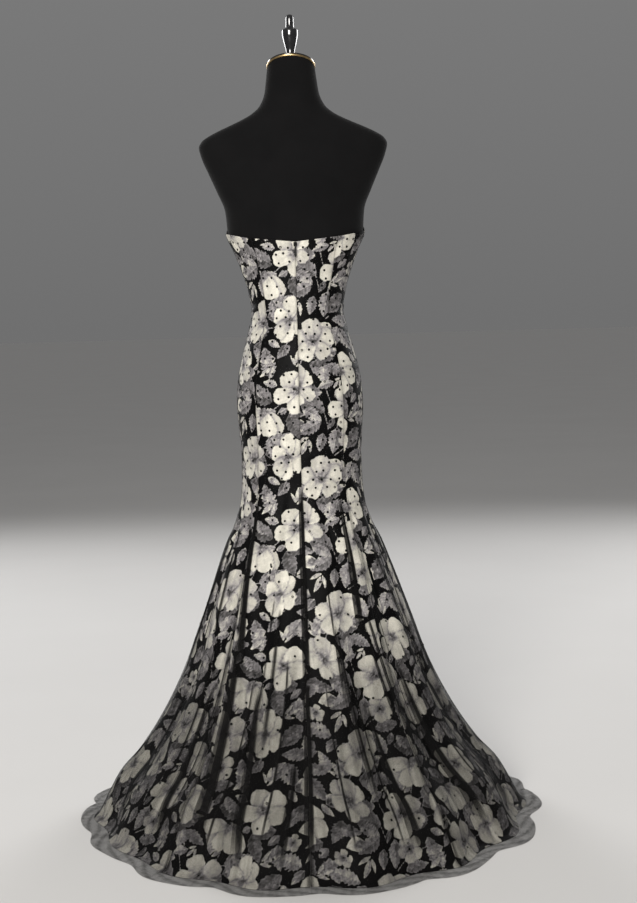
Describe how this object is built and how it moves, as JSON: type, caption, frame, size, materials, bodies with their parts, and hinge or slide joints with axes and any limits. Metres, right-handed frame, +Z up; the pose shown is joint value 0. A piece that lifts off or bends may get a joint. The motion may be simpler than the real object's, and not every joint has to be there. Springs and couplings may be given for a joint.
{
  "type": "strapless mermaid prom dress on a limbless dress form with stand",
  "caption": "Strapless mermaid gown of floral print satin under sheer black dotted tulle, fitted to the knee and flared to a small train, worn by a black dress form.",
  "frame": {"origin": "centre of the underside of the dress form's round base, on the floor", "axes": "+Z up, -Y is the front of the gown, +Y its back with the zip, +X the wearer's left"},
  "size_m": [1.0434, 0.9391, 1.7708],
  "materials": {
    "floral_satin": "satin print",
    "dotted_tulle": "sheer net",
    "zip_black": "gloss",
    "form_jersey": "matte jersey",
    "rim_gold": "polished",
    "cap_black": "gloss lacquer",
    "stand_steel": "satin"
  },
  "bodies": {
    "gown_and_form": {"back_centre_left": "floral_satin", "back_side_left": "floral_satin", "front_side_left": "floral_satin", "front_centre": "floral_satin", "front_side_right": "floral_satin", "back_side_right": "floral_satin", "back_centre_right": "floral_satin", "tulle_back_centre_left": "dotted_tulle", "tulle_back_side_left": "dotted_tulle", "tulle_front_side_left": "dotted_tulle", "tulle_front_centre": "dotted_tulle", "tulle_front_side_right": "dotted_tulle", "tulle_back_side_right": "dotted_tulle", "tulle_back_centre_right": "dotted_tulle", "zip_slider": "zip_black", "form_torso": "form_jersey", "neck_rim": "rim_gold", "neck_cap": "cap_black", "finial": "cap_black", "stand_base": "stand_steel", "stand_pole": "stand_steel"},
    "pull": {"zip_pull": "zip_black"}
  },
  "joints": [
    {"name": "pull_swing", "type": "hinge", "parent": "gown_and_form", "child": "pull", "pos_m": [0, 0.106, 1.26808], "axis": [1, 0, 0], "range_deg": [0, 150]}
  ]
}
